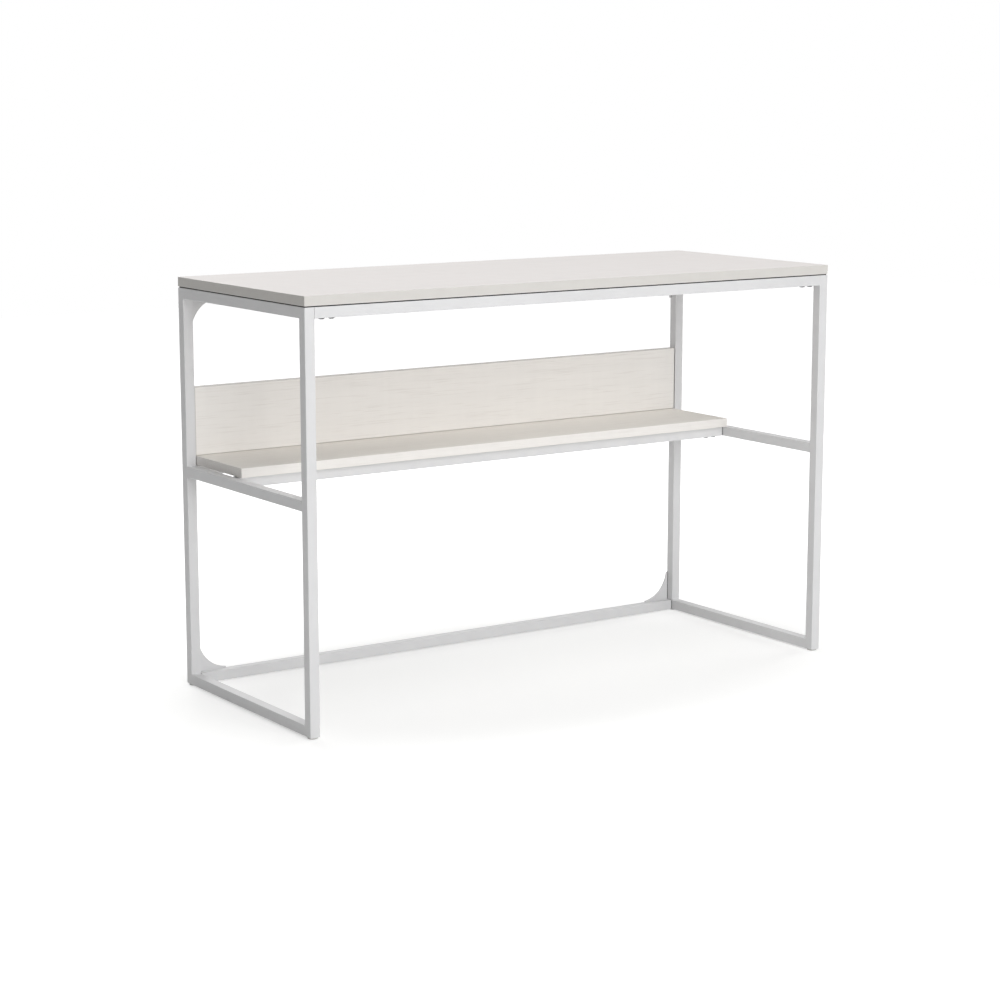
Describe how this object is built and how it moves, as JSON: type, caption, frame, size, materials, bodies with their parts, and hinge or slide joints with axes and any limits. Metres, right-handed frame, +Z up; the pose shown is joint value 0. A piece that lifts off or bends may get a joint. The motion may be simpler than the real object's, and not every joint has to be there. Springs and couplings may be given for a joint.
{
  "type": "writing desk",
  "caption": "Slim writing desk with a square-tube steel frame, laminate top, rear shelf with a low back panel, corner gussets and screw-in levelling glides.",
  "frame": {"origin": "middle of the desk's footprint, on the floor under the glides", "axes": "+X along the width to the right of a person sitting at the desk, +Y away from that person towards the back panel, +Z up"},
  "size_m": [1.2, 0.48, 0.79],
  "materials": {
    "powder_coat": "white powder coat, satin with a fine orange peel",
    "laminate_board": "whitewashed wood-look laminate, matt, grain along the width",
    "edge_band": "edge band in the same whitewashed wood look, matt",
    "zinc_fastener": "bright zinc plate",
    "brass_insert": "plain turned brass",
    "nylon": "light grey moulded nylon",
    "rubber_strip": "black extruded rubber, matt"
  },
  "bodies": {
    "frame": {"back_panel": "laminate_board", "back_panel_edge_band": "edge_band", "desk_top": "laminate_board", "desk_top_edge_band": "edge_band", "front_shelf_rail": "powder_coat", "front_shelf_rail_bolts": "zinc_fastener", "front_shelf_rail_nuts": "zinc_fastener", "front_shelf_rail_spigots": "powder_coat", "front_top_rail": "powder_coat", "front_top_rail_bolts": "zinc_fastener", "front_top_rail_nuts": "zinc_fastener", "front_top_rail_spigots": "powder_coat", "glide_nuts": "zinc_fastener", "gusset_joint_strips": "rubber_strip", "left_bottom_gusset": "powder_coat", "left_bottom_rail": "powder_coat", "left_front_leg": "powder_coat", "left_middle_rail": "powder_coat", "left_rear_leg": "powder_coat", "left_top_gusset": "powder_coat", "left_top_rail": "powder_coat", "panel_inserts": "brass_insert", "panel_screws": "zinc_fastener", "panel_spacers": "nylon", "rear_bottom_rail": "powder_coat", "rear_bottom_rail_bolts": "zinc_fastener", "rear_bottom_rail_nuts": "zinc_fastener", "rear_bottom_rail_spigots": "powder_coat", "rear_shelf_rail": "powder_coat", "rear_shelf_rail_bolts": "zinc_fastener", "rear_shelf_rail_nuts": "zinc_fastener", "rear_shelf_rail_spigots": "powder_coat", "rear_top_rail": "powder_coat", "rear_top_rail_bolts": "zinc_fastener", "rear_top_rail_nuts": "zinc_fastener", "rear_top_rail_spigots": "powder_coat", "right_bottom_gusset": "powder_coat", "right_bottom_rail": "powder_coat", "right_front_leg": "powder_coat", "right_middle_rail": "powder_coat", "right_rear_leg": "powder_coat", "right_top_gusset": "powder_coat", "right_top_rail": "powder_coat", "shelf": "laminate_board", "shelf_edge_band": "edge_band", "shelf_inserts": "brass_insert", "shelf_screws": "zinc_fastener", "shelf_spacers": "nylon", "top_gasket": "rubber_strip", "top_inserts": "brass_insert", "top_screws": "zinc_fastener", "top_spacers": "nylon"},
    "left_front_glide_pad": {"left_front_glide_pad": "nylon"},
    "left_front_glide_stud": {"left_front_glide_stud": "zinc_fastener"},
    "left_rear_glide_pad": {"left_rear_glide_pad": "nylon"},
    "left_rear_glide_stud": {"left_rear_glide_stud": "zinc_fastener"},
    "right_front_glide_pad": {"right_front_glide_pad": "nylon"},
    "right_front_glide_stud": {"right_front_glide_stud": "zinc_fastener"},
    "right_rear_glide_pad": {"right_rear_glide_pad": "nylon"},
    "right_rear_glide_stud": {"right_rear_glide_stud": "zinc_fastener"}
  },
  "joints": [
    {"name": "left_front_level", "type": "slide", "parent": "frame", "child": "left_front_glide_pad", "axis": [0, 0, -1], "range_m": [0, 0.0125]},
    {"name": "left_front_turn", "type": "hinge", "parent": "left_front_glide_pad", "child": "left_front_glide_stud", "pos_m": [-0.59, -0.23, 0.01], "axis": [0, 0, -1], "range_deg": [0, 3600]},
    {"name": "left_rear_level", "type": "slide", "parent": "frame", "child": "left_rear_glide_pad", "axis": [0, 0, -1], "range_m": [0, 0.0125]},
    {"name": "left_rear_turn", "type": "hinge", "parent": "left_rear_glide_pad", "child": "left_rear_glide_stud", "pos_m": [-0.59, 0.23, 0.01], "axis": [0, 0, -1], "range_deg": [0, 3600]},
    {"name": "right_front_level", "type": "slide", "parent": "frame", "child": "right_front_glide_pad", "axis": [0, 0, -1], "range_m": [0, 0.0125]},
    {"name": "right_front_turn", "type": "hinge", "parent": "right_front_glide_pad", "child": "right_front_glide_stud", "pos_m": [0.59, -0.23, 0.01], "axis": [0, 0, -1], "range_deg": [0, 3600]},
    {"name": "right_rear_level", "type": "slide", "parent": "frame", "child": "right_rear_glide_pad", "axis": [0, 0, -1], "range_m": [0, 0.0125]},
    {"name": "right_rear_turn", "type": "hinge", "parent": "right_rear_glide_pad", "child": "right_rear_glide_stud", "pos_m": [0.59, 0.23, 0.01], "axis": [0, 0, -1], "range_deg": [0, 3600]}
  ],
  "couplings": [
    {"joint": "left_front_turn", "follows": "left_front_level", "rad_per_m": 5026.5},
    {"joint": "left_rear_turn", "follows": "left_rear_level", "rad_per_m": 5026.5},
    {"joint": "right_front_turn", "follows": "right_front_level", "rad_per_m": 5026.5},
    {"joint": "right_rear_turn", "follows": "right_rear_level", "rad_per_m": 5026.5}
  ]
}
